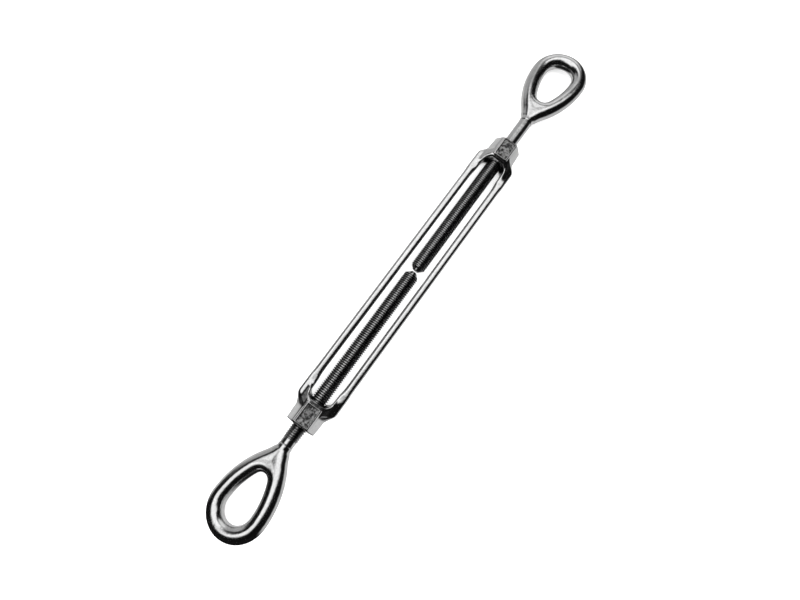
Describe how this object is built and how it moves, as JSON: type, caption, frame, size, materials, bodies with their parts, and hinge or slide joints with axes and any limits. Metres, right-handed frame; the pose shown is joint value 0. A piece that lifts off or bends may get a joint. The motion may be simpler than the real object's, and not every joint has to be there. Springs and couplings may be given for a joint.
{
  "type": "rigging turnbuckle",
  "caption": "Eye-and-eye rigging turnbuckle: an open forged body between two teardrop eye bolts that travel in and out together along one axis.",
  "frame": {"origin": "on the bore axis, midway between the outsides of the two eyes' crowns, in the pose of the picture", "axes": "+X along the bore axis from the right-hand eye to the left-hand eye, +Y across the two side bars, +Z out of the front faces of the bosses"},
  "size_m": [0.624, 0.0619, 0.0326],
  "materials": {
    "forged_body_steel": "bright galvanised forging, satin with worn high spots",
    "eye_bolt_steel": "bright galvanised forging with a rolled thread"
  },
  "bodies": {
    "body": {"turnbuckle_body": "forged_body_steel"},
    "right_hand_bolt": {"right_hand_eye_bolt": "eye_bolt_steel"},
    "left_hand_bolt": {"left_hand_eye_bolt": "eye_bolt_steel"}
  },
  "joints": [
    {"name": "right_hand_take_up", "type": "slide", "parent": "body", "child": "right_hand_bolt", "axis": [-1, 0, 0], "range_m": [-0.0012, 0.144]},
    {"name": "left_hand_take_up", "type": "slide", "parent": "body", "child": "left_hand_bolt", "axis": [1, 0, 0], "range_m": [-0.0012, 0.144]}
  ],
  "couplings": [
    {"joint": "left_hand_take_up", "follows": "right_hand_take_up", "ratio": 1}
  ]
}
